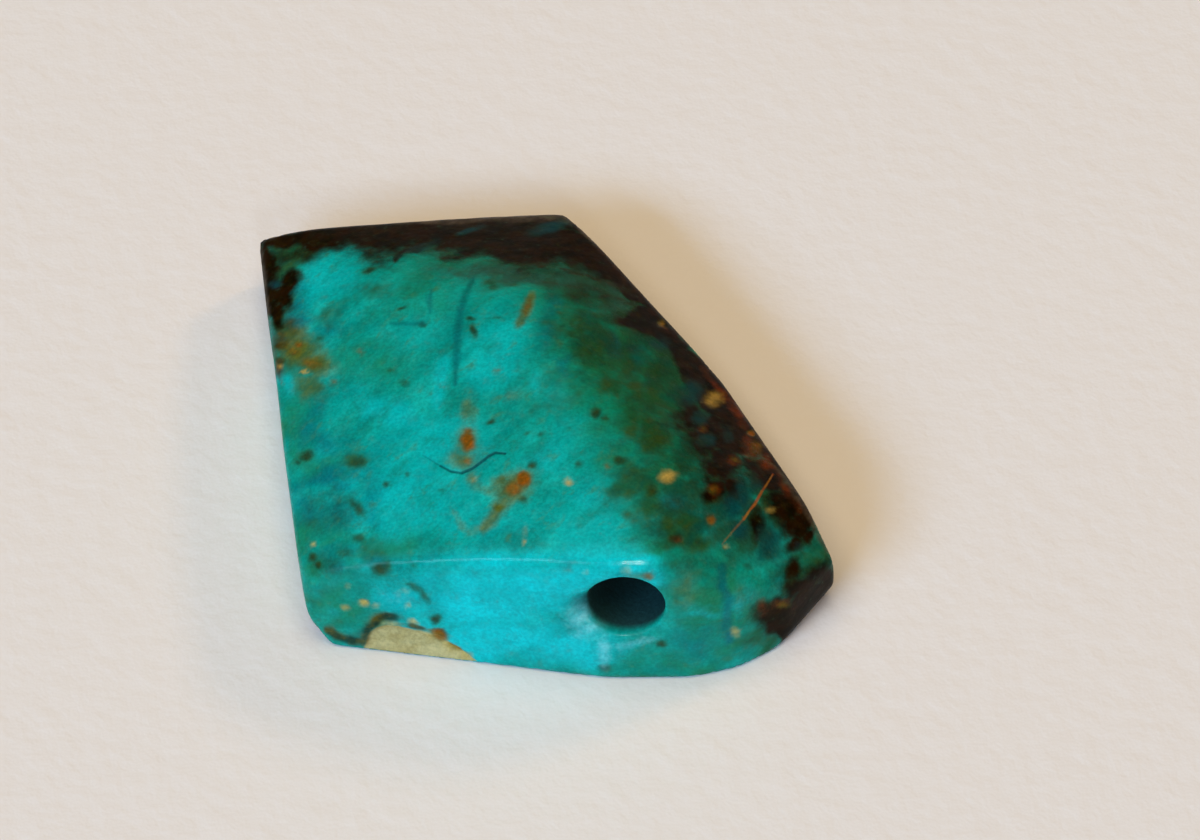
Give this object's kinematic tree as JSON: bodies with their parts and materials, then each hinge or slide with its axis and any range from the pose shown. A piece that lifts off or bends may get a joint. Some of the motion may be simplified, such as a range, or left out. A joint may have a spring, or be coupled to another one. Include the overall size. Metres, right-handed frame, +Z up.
{
  "type": "drilled turquoise nugget",
  "caption": "Polished, domed turquoise nugget with ground flats and a stringing hole, lying on a flat underside.",
  "frame": {"origin": "middle of the stone's box, on its flat underside", "axes": "+Z up from the flat underside, +X to the right towards the pointed tip, -Y out of the front face that holds the mouth of the stringing hole"},
  "size_m": [0.0142, 0.0134, 0.0041],
  "materials": {
    "turquoise": "polished"
  },
  "bodies": {
    "root": {"turquoise_nugget": "turquoise"}
  },
  "joints": []
}
